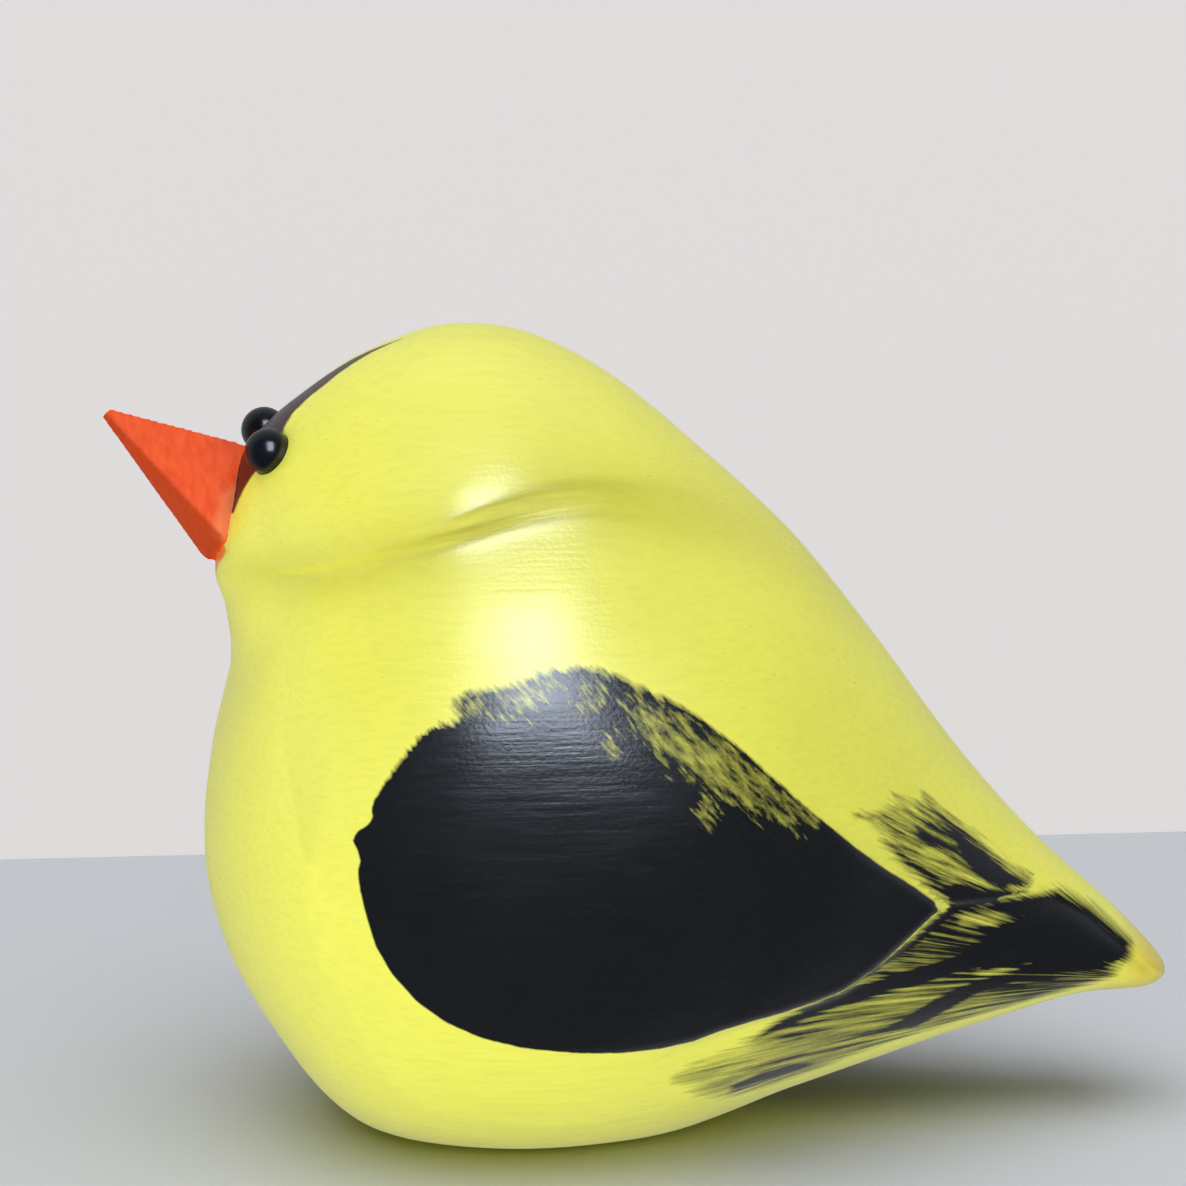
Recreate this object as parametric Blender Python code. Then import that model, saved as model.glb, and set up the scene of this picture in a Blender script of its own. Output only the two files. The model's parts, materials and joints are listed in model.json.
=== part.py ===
"""Small carved and painted wooden bird with two bead eyes, standing on its flat belly.

The bird faces -X and stands on Z = 0, with its left side at -Y. One block of wood holds
head, beak, folded wings and tail. The form is lofted like a boat: sections stand square
to a line that slopes from the face down to the tail tip, and a short table gives each
section's back, belly, widest line and half width as shares of the body's size. The knife
work on the sides (neck crease, wing ends, hollowed tail) is cut into that form.
"""

import math

import bmesh
import bpy
import numpy as np
from mathutils import Matrix, Vector
from mathutils.bvhtree import BVHTree

MM = 0.001

# Driving sizes of the body
BODY_LENGTH = 99.0 * MM
BODY_WIDTH = 60.0 * MM
BODY_SLOPE = math.radians(28.0)
FACE_HEIGHT = 59.1 * MM

# Beak: a blunt four sided spike, its corners placed from the middle of the face
BEAK_REACH = 11.2 * MM
BEAK_RISE = 7.7 * MM
BEAK_RIDGE = 3.9 * MM
BEAK_RIDGE_BACK = 2.1 * MM
BEAK_KEEL = 7.2 * MM
BEAK_KEEL_FRONT = 1.1 * MM
BEAK_SIDE = 4.1 * MM
BEAK_WIDTH = 8.8 * MM
BEAK_BLUNT = 1.5 * MM
BEAK_EDGE = 0.2 * MM
BEAK_ROOT = 4.5 * MM
BEAK_ROOT_SHARE = 0.7

# Bead eyes, seated beside the top of the beak
EYE_DIAMETER = 4.2 * MM
EYE_SPACING = 10.8 * MM
EYE_RISE = 3.9 * MM
EYE_STANDOFF = 0.3 * MM
EYE_CLEARANCE = 0.3 * MM

# Knife work on the sides
NECK_DEPTH = 1.3 * MM
NECK_SHOULDER = 4.5 * MM
NECK_UNDERCUT = 2.2 * MM
NECK_SHARPNESS = 0.5 * MM
CHEEK_SWELL = 0.6 * MM
CHEEK_RISE = 4.2 * MM
CHEEK_WIDTH = 3.2 * MM
NECK_WAIST = 1.2 * MM
NECK_WAIST_WIDTH = 9.0 * MM
WING_STEP = 0.6 * MM
TAIL_HOLLOW = 0.8 * MM
KNIFE_SOFTNESS = 2.4 * MM
KEEP_CENTRE = 5.0 * MM
CUT_TOLERANCE = 0.001 * MM

# Stations of the body from face to tail tip. Along, back, belly and widest line are
# shares of the body's length, half width is a share of half the body's width.
STATIONS = (
    # along, back, belly, widest, half width
    (0.004, 0.040, 0.040, 0.040, 0.00),
    (0.014, 0.077, -0.006, 0.034, 0.15),
    (0.030, 0.113, -0.069, 0.024, 0.27),
    (0.055, 0.160, -0.097, 0.020, 0.40),
    (0.085, 0.198, -0.145, 0.005, 0.52),
    (0.107, 0.219, -0.226, -0.030, 0.61),
    (0.138, 0.238, -0.301, -0.080, 0.72),
    (0.192, 0.254, -0.371, -0.130, 0.86),
    (0.273, 0.254, -0.427, -0.160, 0.96),
    (0.374, 0.232, -0.468, -0.165, 1.00),
    (0.485, 0.202, -0.448, -0.145, 0.97),
    (0.606, 0.149, -0.386, -0.110, 0.80),
    (0.727, 0.091, -0.270, -0.080, 0.57),
    (0.848, 0.046, -0.148, -0.045, 0.37),
    (0.940, 0.021, -0.062, -0.015, 0.25),
    (0.985, 0.002, -0.028, -0.010, 0.16),
    (1.000, -0.009, -0.009, -0.009, 0.00),
)

# Lines of the knife work in the body's side view, as shares of its length: along, up
NECK_LINE = ((0.036, -0.054), (0.235, 0.118))
WING_TOP = ((0.480, 0.040), (0.733, -0.020))
WING_REAR = ((0.733, -0.020), (0.545, -0.250))
TAIL_RIDGE = ((0.733, -0.020), (0.855, 0.026), (1.000, -0.006))

# Where each cut fades from nothing to its full depth, as shares of its line
NECK_STARTS = (-0.25, 0.35)
NECK_ENDS = (1.75, 0.85)
CHEEK_STARTS = (0.0, 0.5)
CHEEK_ENDS = (1.3, 0.8)
TAIL_ENDS = (1.1, 0.6)
WING_STARTS = (0.1, 0.8)

# Facets of the solids
AROUND = 64
ALONG = 60
EYE_AROUND = 20
EYE_ALONG = 12


def ramp(value, ends):
    """0 at the first end and 1 at the second, with a soft start and stop."""
    part = np.clip((value - ends[0]) / (ends[1] - ends[0]), 0.0, 1.0)
    return part * part * (3.0 - 2.0 * part)


def smooth_through(knots, values, where):
    """A smooth curve through the values, round at both ends, read at the given places."""
    before_first = 2 * values[0] - values[1]
    after_last = 2 * values[-1] - values[-2]
    before_first[0] = values[1][0]
    after_last[0] = values[-2][0]
    points = np.vstack([before_first, values, after_last])
    spans = np.diff(np.concatenate([[-knots[1]], knots, [2 - knots[-2]]]))[:, None]
    rates = np.diff(points, axis=0) / spans
    slopes = (rates[:-1] * spans[1:] + rates[1:] * spans[:-1]) / (spans[:-1] + spans[1:])
    index = np.clip(np.searchsorted(knots, where, side="right") - 1, 0, len(knots) - 2)
    span = spans[index + 1]
    part = (where[:, None] - knots[index][:, None]) / span
    return (
        (2 * part**3 - 3 * part**2 + 1) * values[index]
        + (part**3 - 2 * part**2 + part) * slopes[index] * span
        + (3 * part**2 - 2 * part**3) * values[index + 1]
        + (part**3 - part**2) * slopes[index + 1] * span
    )


def line_sides(line, along, up):
    """How far places lie to the left of a line, and their share of its run."""
    (start_along, start_up), (end_along, end_up) = line
    run = math.hypot(end_along - start_along, end_up - start_up)
    step_along = (end_along - start_along) / run
    step_up = (end_up - start_up) / run
    from_along = along - start_along
    from_up = up - start_up
    left = step_along * from_up - step_up * from_along
    share = (from_along * step_along + from_up * step_up) / run
    return left * BODY_LENGTH, share


def side_cut(along, up):
    """Depth that the knife takes off the sides, at places given as shares of the length."""
    # Crease between cheek and shoulder: steep under the cheek, easy down the shoulder
    above, share = line_sides(NECK_LINE, along, up)
    width = np.where(above > 0, NECK_UNDERCUT, NECK_SHOULDER)
    from_line = np.hypot(above, NECK_SHARPNESS) - NECK_SHARPNESS
    fade = ramp(share, NECK_STARTS) * ramp(share, NECK_ENDS)
    crease = NECK_DEPTH * np.exp(-((from_line / width) ** 1.5))
    waist = NECK_WAIST * np.exp(-((above / NECK_WAIST_WIDTH) ** 2))
    cut = fade * (crease + waist)
    # Cheek, a low swell above the crease
    swell = np.exp(-(((above - CHEEK_RISE) / CHEEK_WIDTH) ** 2))
    cut = cut - CHEEK_SWELL * swell * ramp(share, CHEEK_STARTS) * ramp(share, CHEEK_ENDS)
    # Tail sides, hollowed behind the wings and under the rump
    below_ridge = np.full_like(along, -np.inf)
    for start, end in zip(TAIL_RIDGE, TAIL_RIDGE[1:]):
        left, _ = line_sides((start, end), along, up)
        below_ridge = np.where(along >= start[0], -left, below_ridge)
    behind_wing, share = line_sides(WING_REAR, along, up)
    hollow = np.minimum(np.where(along >= WING_REAR[0][0], below_ridge, np.inf), behind_wing)
    cut = cut + TAIL_HOLLOW * ramp(hollow, (0.0, KNIFE_SOFTNESS)) * ramp(share, TAIL_ENDS)
    # Wing ends, left standing by the cuts above and behind them
    above, share = line_sides(WING_TOP, along, up)
    inside = np.minimum(-above, -behind_wing)
    standing = ramp(inside, (0.0, KNIFE_SOFTNESS)) * ramp(share, WING_STARTS)
    return cut - WING_STEP * standing


def to_world(along, up):
    """X and Z of a place in the body's sloping side view, with the face at X = 0."""
    cos, sin = math.cos(BODY_SLOPE), math.sin(BODY_SLOPE)
    return along * cos + up * sin, FACE_HEIGHT - along * sin + up * cos


def body_form(ball):
    """Each point of a unit ball becomes a point of the carved body."""
    table = np.array(STATIONS)
    girth = (table[:, 1] - table[:, 2]) / 2
    half_width = table[:, 4] * BODY_WIDTH / 2 / BODY_LENGTH
    profile = np.stack([table[:, 0], girth, half_width], axis=1)
    run = np.cumsum(np.linalg.norm(np.diff(profile, axis=0, prepend=profile[:1]), axis=1))
    polar = np.arccos(np.clip(ball[:, 2], -1.0, 1.0)) / math.pi
    along, back, belly, widest, half = smooth_through(run / run[-1], table, polar).T
    turn = np.arctan2(ball[:, 0], ball[:, 1])
    rise = np.sin(turn)
    up = widest + rise * np.where(rise > 0, back - widest, widest - belly)
    side = half * np.cos(turn) * BODY_WIDTH / 2
    cut = side_cut(along, up) * np.clip(side / KEEP_CENTRE, -1.0, 1.0)
    x, z = to_world(along * BODY_LENGTH, up * BODY_LENGTH)
    return np.stack([x, side - cut, z], axis=1)


def add_material(name, colour, roughness):
    """A plain painted finish for a node."""
    material = bpy.data.materials.new(name)
    material.use_nodes = True
    shader = material.node_tree.nodes["Principled BSDF"]
    shader.inputs["Base Color"].default_value = (*colour, 1.0)
    shader.inputs["Roughness"].default_value = roughness
    shader.inputs["Metallic"].default_value = 0.0
    material.diffuse_color = (*colour, 1.0)
    return material


def new_object(name, bm, collection):
    """The bmesh as a named object."""
    mesh = bpy.data.meshes.new(name)
    bm.to_mesh(mesh)
    bm.free()
    obj = bpy.data.objects.new(name, mesh)
    collection.objects.link(obj)
    return obj


def lofted_body():
    """The body's block before beak and eye seats, cut flat where it stands."""
    bm = bmesh.new()
    bmesh.ops.create_uvsphere(bm, u_segments=AROUND, v_segments=ALONG, radius=1.0)
    ball = np.array([vert.co for vert in bm.verts])
    for vert, place in zip(bm.verts, body_form(ball)):
        vert.co = place
    cut = bmesh.ops.bisect_plane(
        bm,
        geom=bm.verts[:] + bm.edges[:] + bm.faces[:],
        dist=CUT_TOLERANCE,
        plane_co=(0, 0, 0),
        plane_no=(0, 0, -1),
        clear_outer=True,
    )
    rim = [item for item in cut["geom_cut"] if isinstance(item, bmesh.types.BMEdge)]
    bmesh.ops.contextual_create(bm, geom=rim)
    bmesh.ops.recalc_face_normals(bm, faces=bm.faces)
    return bm


def beak():
    """Four sided spike with a blunt tip and a narrower root that lies inside the head."""
    tip = Vector((-BEAK_REACH, 0, FACE_HEIGHT + BEAK_RISE))
    ridge = Vector((BEAK_RIDGE_BACK, 0, FACE_HEIGHT + BEAK_RIDGE))
    keel = Vector((-BEAK_KEEL_FRONT, 0, FACE_HEIGHT - BEAK_KEEL))
    side = Vector((0, -BEAK_WIDTH / 2, FACE_HEIGHT - BEAK_SIDE))
    mirror = Vector((1, -1, 1))
    bm = bmesh.new()
    bmesh.ops.create_cone(bm, segments=4, radius1=1, radius2=1, depth=2, cap_ends=True)
    long_edges = [edge for edge in bm.edges if edge.verts[0].co.z * edge.verts[1].co.z < 0]
    for vert in bm.verts:
        if abs(vert.co.x) > abs(vert.co.y):
            corner = side if vert.co.x > 0 else side * mirror
        else:
            corner = ridge if vert.co.y > 0 else keel
        at_base = vert.co.z < 0
        vert.co = corner if at_base else tip + (corner - tip).normalized() * BEAK_BLUNT
    bmesh.ops.bevel(
        bm, geom=long_edges, offset=BEAK_EDGE, segments=2, profile=0.5, affect="EDGES",
    )
    base = max(bm.faces, key=lambda face: face.calc_center_median().x)
    root = bmesh.ops.extrude_face_region(bm, geom=[base])["geom"]
    bm.faces.remove(base)
    root_verts = [item for item in root if isinstance(item, bmesh.types.BMVert)]
    middle = sum((vert.co for vert in root_verts), Vector()) / len(root_verts)
    for vert in root_verts:
        vert.co = middle + (vert.co - middle) * BEAK_ROOT_SHARE + Vector((BEAK_ROOT, 0, 0))
    return bm


def eye_centre(head, side):
    """Centre of a bead that stands on the face, found by looking back at the face."""
    start = Vector((-BODY_LENGTH, side * EYE_SPACING / 2, FACE_HEIGHT + EYE_RISE))
    place, normal, _, _ = head.ray_cast(start, Vector((1, 0, 0)))
    return place + normal * EYE_STANDOFF


def bead(centre, diameter):
    """A ball of the given diameter."""
    bm = bmesh.new()
    bmesh.ops.create_uvsphere(
        bm, u_segments=EYE_AROUND, v_segments=EYE_ALONG, radius=diameter / 2,
        matrix=Matrix.Translation(centre),
    )
    return bm


def join(body, tool, operation):
    """A Boolean between the body and a tool that stays hidden."""
    tool.hide_render = True
    tool.display_type = "WIRE"
    modifier = body.modifiers.new(tool.name, "BOOLEAN")
    modifier.operation = operation
    modifier.solver = "EXACT"
    modifier.object = tool


def centre_on_origin(objects):
    """Moves everything along X until the whole bird is centred over the origin."""
    reach = [vert.co.x for obj in objects for vert in obj.data.vertices]
    shift = Matrix.Translation((-(min(reach) + max(reach)) / 2, 0, 0))
    for obj in objects:
        obj.data.transform(shift)


def build():
    for obj in list(bpy.data.objects):
        bpy.data.objects.remove(obj, do_unlink=True)
    parts = bpy.data.collections.new("carved_wooden_bird")
    tools = bpy.data.collections.new("cutters")
    bpy.context.scene.collection.children.link(parts)
    bpy.context.scene.collection.children.link(tools)

    form = lofted_body()
    head = BVHTree.FromBMesh(form)
    body = new_object("carved_body", form, parts)
    body.data.materials.append(add_material("yellow_acrylic", (0.78, 0.78, 0.10), 0.45))
    beak_block = new_object("beak_block", beak(), tools)
    join(body, beak_block, "UNION")
    objects = [body, beak_block]

    eye_finish = add_material("black_bead", (0.01, 0.01, 0.012), 0.08)
    for name, side in (("left_eye", -1), ("right_eye", 1)):
        centre = eye_centre(head, side)
        eye = new_object(name, bead(centre, EYE_DIAMETER), parts)
        eye.data.materials.append(eye_finish)
        seat_size = EYE_DIAMETER + 2 * EYE_CLEARANCE
        seat = new_object(name + "_seat", bead(centre, seat_size), tools)
        join(body, seat, "DIFFERENCE")
        eye.data.shade_smooth()
        objects += [eye, seat]

    centre_on_origin(objects)
    body.data.shade_smooth()


build()
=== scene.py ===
"""Looks of the carved wooden bird: brushed acrylic on knife-cut wood, with glass bead eyes.

The body is the solid's own form again, with twenty times the faces, sharper knife cuts, the
marks of blade and gouge, a beak with rounded edges and hollows for the eyes. Each paint
is a patch whose outline is drawn in the bird's side or front view and kept on the mesh
as distances, so that its edges can be crisp where the brush was wet and torn where dry.
"""
import json
import math
from functools import partial

import bpy
import numpy as np
from mathutils import Matrix, Vector, noise

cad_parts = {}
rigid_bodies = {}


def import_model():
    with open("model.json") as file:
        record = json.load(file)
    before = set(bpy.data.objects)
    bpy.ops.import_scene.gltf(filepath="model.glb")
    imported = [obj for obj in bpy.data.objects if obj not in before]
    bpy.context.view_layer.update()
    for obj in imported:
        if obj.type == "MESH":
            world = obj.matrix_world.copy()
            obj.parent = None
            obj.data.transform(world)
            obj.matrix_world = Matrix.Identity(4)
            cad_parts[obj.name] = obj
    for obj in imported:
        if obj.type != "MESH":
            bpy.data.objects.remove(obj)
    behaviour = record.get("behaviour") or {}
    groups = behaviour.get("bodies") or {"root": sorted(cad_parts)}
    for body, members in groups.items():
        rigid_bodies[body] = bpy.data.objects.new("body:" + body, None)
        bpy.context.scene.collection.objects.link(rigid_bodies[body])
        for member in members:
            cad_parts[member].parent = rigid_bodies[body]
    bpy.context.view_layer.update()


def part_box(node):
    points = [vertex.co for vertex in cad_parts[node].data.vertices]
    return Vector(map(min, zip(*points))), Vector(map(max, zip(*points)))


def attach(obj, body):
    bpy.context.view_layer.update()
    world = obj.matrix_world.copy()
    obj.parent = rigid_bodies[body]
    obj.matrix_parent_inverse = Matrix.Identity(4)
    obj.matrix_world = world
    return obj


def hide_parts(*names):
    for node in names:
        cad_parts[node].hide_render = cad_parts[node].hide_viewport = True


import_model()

MM = 0.001

# Camera of the photograph: where it looks from and to, and its picture in pixels
PICTURE = 1186
SENSOR = 36.0
FOCAL_PIXELS = 5280.0
VIEW_AZIMUTH = math.radians(-5.3)
VIEW_ELEVATION = math.radians(12.0)
VIEW_DISTANCE = 480.0 * MM
VIEW_TARGET = Vector((-4.62, 0.0, 48.6)) * MM

# Lamps stand this far from the middle of the bird, where they don't say otherwise
LAMP_TARGET = Vector((0.0, 0.0, 37.0)) * MM
LAMP_DISTANCE = 600.0 * MM

# Driving sizes of the body, the same as the solid's
BODY_LENGTH = 99.0 * MM
BODY_WIDTH = 60.0 * MM
BODY_SLOPE = math.radians(28.0)
FACE_HEIGHT = 59.1 * MM

# Beak, its corners placed from the middle of the face
BEAK_REACH = 11.2 * MM
BEAK_RISE = 7.7 * MM
BEAK_RIDGE = 3.9 * MM
BEAK_RIDGE_BACK = 2.1 * MM
BEAK_KEEL = 7.2 * MM
BEAK_KEEL_FRONT = 1.1 * MM
BEAK_SIDE = 4.1 * MM
BEAK_WIDTH = 8.8 * MM
BEAK_BLUNT = 1.5 * MM
BEAK_ROOT = 4.5 * MM
BEAK_ROOT_SHARE = 0.7
BEAK_RIM = 0.8 * MM
BEAK_RIM_STEPS = 3
BEAK_VOXEL = 0.22 * MM
BEAK_SOFTENING = 5
SAME_PLACE = 0.1 * MM
SEAM_STEPS = 3
SEAM_SOFTENING = 6

# Glass bead eyes and the hollows that they are glued into
EYE_SEAT_GAP = 0.06 * MM
BORE_DEPTH = 1.2 * MM
BORE_SHARE = 0.3

# Knife work on the sides
NECK_DEPTH = 1.3 * MM
NECK_SHOULDER = 4.5 * MM
NECK_SHOULDER_EASE = 1.5
NECK_UNDERCUT = (0.6 * MM, 2.9 * MM)
NECK_UNDERCUT_OPENS = (0.2, 1.0)
NECK_SHARPNESS = 0.25 * MM
CHEEK_SWELL = 0.6 * MM
CHEEK_RISE = 4.2 * MM
CHEEK_WIDTH = 3.2 * MM
NECK_WAIST = 1.2 * MM
NECK_WAIST_WIDTH = 9.0 * MM
WING_STEP = 0.7 * MM
TAIL_HOLLOW = 0.8 * MM
KNIFE_SOFTNESS = 1.2 * MM
WING_EDGE = (-0.6 * KNIFE_SOFTNESS, 0.4 * KNIFE_SOFTNESS)
KEEP_CENTRE = 5.0 * MM
FOOT_ROUNDING = 0.8 * MM

# Stations of the body from face to tail tip, as the solid has them but with a rounder tip.
# All are shares of the body's length, and half width is a share of half its width.
STATIONS = (
    # along, back, belly, widest, half width
    (0.004, 0.040, 0.040, 0.040, 0.00),
    (0.014, 0.077, -0.006, 0.034, 0.15),
    (0.030, 0.113, -0.069, 0.024, 0.27),
    (0.055, 0.160, -0.097, 0.020, 0.40),
    (0.085, 0.198, -0.145, 0.005, 0.52),
    (0.107, 0.219, -0.226, -0.030, 0.61),
    (0.138, 0.238, -0.301, -0.080, 0.72),
    (0.192, 0.254, -0.371, -0.130, 0.86),
    (0.273, 0.254, -0.427, -0.160, 0.96),
    (0.374, 0.232, -0.468, -0.165, 1.00),
    (0.485, 0.202, -0.448, -0.145, 0.97),
    (0.606, 0.149, -0.386, -0.110, 0.80),
    (0.727, 0.091, -0.270, -0.080, 0.57),
    (0.848, 0.046, -0.148, -0.045, 0.37),
    (0.940, 0.021, -0.062, -0.015, 0.25),
    (0.984, 0.006, -0.034, -0.012, 0.18),
    (0.996, 0.000, -0.024, -0.011, 0.11),
    (1.000, -0.009, -0.009, -0.009, 0.00),
)

# Lines of the knife work in the body's side view, as shares of its length: along, up
NECK_LINE = ((0.036, -0.063), (0.235, 0.118))
WING_UPPER = ((0.480, 0.040), (0.733, -0.020))
WING_REAR = ((0.733, -0.020), (0.545, -0.250))
TAIL_RIDGE = (
    (0.733, -0.020), (0.855, 0.027), (0.900, 0.024), (0.948, 0.011), (1.000, -0.006),
)
NECK_BEND_FROM = 0.95
NECK_BEND = 15.0 * MM
NECK_STARTS = (-0.25, 0.5)
NECK_ENDS = (1.6, 0.9)
WAIST_ENDS = (2.6, 1.3)
CHEEK_STARTS = (0.0, 0.5)
CHEEK_ENDS = (1.3, 0.8)
TAIL_ENDS = (1.1, 0.6)
WING_STARTS = (0.1, 0.8)

# Marks of the blade: depth, and the size of one mark along X, Y and Z
FLATS_DEPTH = 0.16 * MM
FLATS_SIZE = (11.0 * MM, 8.0 * MM, 8.0 * MM)
SHAVINGS_DEPTH = 0.05 * MM
SHAVINGS_SIZE = (6.0 * MM, 2.2 * MM, 2.2 * MM)

# Outlines of the black paint in the side view, in mm: along, up
WING_PATCH = (
    (23.4, -3.6), (24.5, -2.1), (25.5, -1.3), (28.0, 0.5), (29.1, 2.2), (32.8, 4.5),
    (33.8, 4.6), (38.6, 4.8), (43.6, 4.8), (49.3, 3.5), (55.4, 1.7), (57.7, 1.1),
    (64.2, -0.6), (72.2, -2.0), (73.2, -2.6), (73.2, -2.8), (72.6, -3.7), (69.1, -11.6),
    (65.1, -15.2), (59.7, -19.1), (56.3, -22.4), (49.9, -25.8), (41.4, -28.8), (34.7, -29.1),
    (28.6, -26.7), (24.7, -22.6), (23.1, -20.4), (22.9, -19.2), (21.2, -18.0), (22.3, -15.8),
    (21.5, -14.8), (21.6, -12.6), (22.0, -9.5), (22.8, -6.2), (24.9, -4.7),
)
RUMP_WASH = (
    (61.6, 2.2), (64.3, 4.9), (68.0, 5.5), (73.5, 4.0), (78.5, 2.3), (81.4, 2.2),
    (78.4, 0.0), (73.0, -1.1), (68.0, -0.4), (63.4, 1.2),
)
TAIL_WASH = (
    (73.8, -2.4), (76.7, -0.7), (79.4, 0.1), (84.6, 2.3), (88.6, 2.1), (93.6, 0.8),
    (94.2, -1.0), (93.3, -2.8), (89.0, -6.4), (85.0, -9.9), (79.8, -14.2), (75.3, -18.0),
    (71.4, -22.0), (67.1, -25.5), (63.3, -27.7), (57.0, -26.6), (58.5, -23.8), (61.7, -20.6),
    (65.0, -16.9), (68.3, -12.6), (69.8, -10.0), (72.4, -5.9),
)
TAIL_END = (
    (76.0, -0.9), (79.4, 0.1), (84.6, 2.3), (88.6, 2.1), (93.6, 0.8), (93.5, -2.2),
    (89.2, -4.1), (85.6, -5.7), (81.0, -7.0), (78.0, -6.0),
)

# Single strokes of a full brush, and places where it ran dry: along, up, half width
FULL_STROKES = (
    # Tail side, from the tip back towards the wing
    ((81.8, -3.3, 1.3), (79.9, -5.3, 1.3), (76.1, -8.3, 1.2), (72.2, -11.0, 1.1),
     (68.4, -13.9, 1.1), (65.0, -17.3, 0.9), (63.0, -20.0, 0.2)),
    ((87.5, -5.0, 0.7), (84.0, -6.3, 0.9), (80.9, -8.5, 1.0), (79.0, -10.9, 1.2),
     (77.4, -13.5, 1.1), (75.0, -15.5, 0.3)),
    ((76.7, -1.3, 0.5), (74.9, -2.3, 0.7), (72.9, -6.1, 0.6), (70.4, -9.7, 0.4),
     (68.8, -12.0, 0.1)),
    ((70.6, -21.1, 0.3), (68.7, -22.1, 0.9), (66.5, -23.6, 1.1), (64.6, -25.5, 0.8)),
    # Rump, fingers of a spread brush
    ((61.4, 2.3, 0.1), (64.1, 2.9, 0.3), (66.4, 2.7, 0.4), (69.5, 2.5, 0.5), (72.5, 2.4, 0.6)),
    ((64.6, 1.2, 0.1), (66.3, 0.9, 0.3), (68.8, 0.1, 0.5), (71.5, -0.5, 0.6), (73.4, -1.1, 0.5)),
    ((64.4, 4.8, 0.1), (66.0, 4.3, 0.3), (68.2, 3.0, 0.4), (70.0, 2.5, 0.4)),
    ((67.7, 5.4, 0.1), (69.3, 4.7, 0.3), (71.6, 3.9, 0.5), (73.5, 3.0, 0.9), (76.1, 2.0, 1.1),
     (78.6, 1.6, 0.9), (81.1, 2.1, 0.2)),
    ((81.0, 0.9, 0.3), (77.7, -0.3, 1.0), (74.6, -1.0, 1.1), (72.9, -0.9, 0.5)),
)
DRY_PLACES = (
    # Wing top, behind the crown of the shoulder, and two flecks
    ((37.3, 3.1, 0.4), (40.8, 2.3, 1.2), (46.2, 1.7, 1.5), (51.4, 1.0, 1.3), (57.0, 0.5, 0.5)),
    ((37.3, -0.5, 0.5), (37.7, -0.8, 0.3)),
    ((47.8, -2.1, 0.3), (48.3, -2.4, 0.1)),
    # Wing top, where the brush first touched
    ((24.1, -4.2, 0.6), (27.0, -1.5, 1.5), (30.6, 0.9, 1.8), (33.7, 2.4, 1.3)),
)
BARE_PLACES = (
    # Wing tip, and the knife's edge between rump and tail
    ((72.9, -2.2, 0.3), (73.9, -2.5, 0.4)),
    ((78.8, 0.0, 0.0), (81.2, 1.05, 0.12), (84.4, 2.6, 0.25)),
)
THIN_PLACES = (
    # Rump, tail behind the wing, and the streaks that run to the tail tip
    ((69.5, 1.4, 0.3), (73.7, 0.7, 0.5), (76.6, 0.5, 0.3)),
    ((76.5, -2.9, 0.4), (80.3, -1.5, 0.6), (82.2, -0.9, 0.4)),
    ((80.6, -7.0, 0.1), (83.2, -5.5, 0.35), (85.0, -4.2, 0.2)),
    ((91.5, -1.6, 0.1), (93.9, -1.5, 0.5)),
)

# Brown cap and lores in the front view, in mm: height above the face, half width
CAP_EDGE = (
    (-2.5, 0.0), (-2.0, 3.5), (-0.6, 4.0), (0.9, 4.5), (2.5, 5.3), (4.0, 6.0), (5.0, 5.3),
    (6.0, 4.0), (7.0, 2.9), (8.2, 2.1), (10.0, 1.6), (11.6, 1.0), (13.0, 0.2), (13.6, -0.4),
)
NO_CAP = -9.0
CAP_BACK = 9.0

# Orange on beak and head, in mm: how far back, how high, and the top of the painted highlight
# along the beak's rear rim
BEAK_BACK = 8.0
SMUDGE_TOP = -5.2
RIM_TOP = -0.5

# Changes to the paint are given as an amount and the range, in mm, over which it comes in.
# Black of the wing: softness of its edge, crisp below and torn towards the upper front
WING_SOFTNESS = 0.12
TOP_SOFTNESS = (0.2, (60.0, 30.0))
TORN_SOFTNESS = 0.3
WING_TOP = (-15.0, -8.0)
TORN_FRONT = (48.0, 30.0)

# Dryness of the brush near the dry places, less at the front and the rear of the wing
WING_DRYNESS = (0.7, (-2.4, 1.8))
WETTER_FRONT = (0.45, (37.0, 32.0))
WETTER_REAR = (0.55, (45.0, 55.0))
WING_SEE_THROUGH = 0.65
DRY_SEE_THROUGH = (0.35, (-1.5, 0.5))
TORN_SEE_THROUGH = 0.3
WING_CONTRAST = 1.6
DRY_CONTRAST = (2.2, (-3.0, -0.5))
TORN_CONTRAST = 0.6

# Wash of thin black on rump and tail: the width of its torn edge, and how well it covers
RUMP_TORN = 1.8
TAIL_TORN = 0.8
TAIL_TORN_FRONT = (1.8, (74.0, 60.0))
WASH_STEEPNESS = 1.5
WASH_COVER = 0.42
WASH_OUTSIDE = (-0.6, (0.4, -1.0))
WASH_FRONT = (-0.45, (73.0, 58.0))
WASH_STREAKS = (-0.4, (-0.6, 0.4))
RUMP_WASH_FRONT = (-0.35, (70.0, 62.0))
TAIL_WASH_LOW = -0.14
TAIL_WASH_HIGH = (0.32, (-11.5, -7.0))
TAIL_WASH_REAR = (66.0, 73.0)
CLEAR_OF_STREAKS = (0.0, -1.0)
WASH_SEE_THROUGH = 0.6
WASH_CONTRAST = 2.9
RUMP_CONTRAST = 3.4
SOLID_CONTRAST = (-0.35, (0.4, 1.2))

# Full strokes on the wash: how far paint reaches past them, the width of their edge, and the
# most that they cover. They start faint at the front, and fill the end of the tail.
RUMP_STROKE_EDGE = (0.2, 0.8)
TAIL_STROKE_EDGE = (0.25, 0.9)
STROKE_COVER = 1.2
RUMP_STROKE_FRONT = (0.35, (72.0, 63.0))
TAIL_STROKE_FRONT = (0.45, (72.0, 60.0))
TAIL_END_EDGE = (0.1, 0.8)
TAIL_END_COVER = (1.5, (75.0, 82.5))
TAIL_END_STREAKS = (-0.9, (-0.5, 0.3))
BARE_EDGE = 0.3

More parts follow.
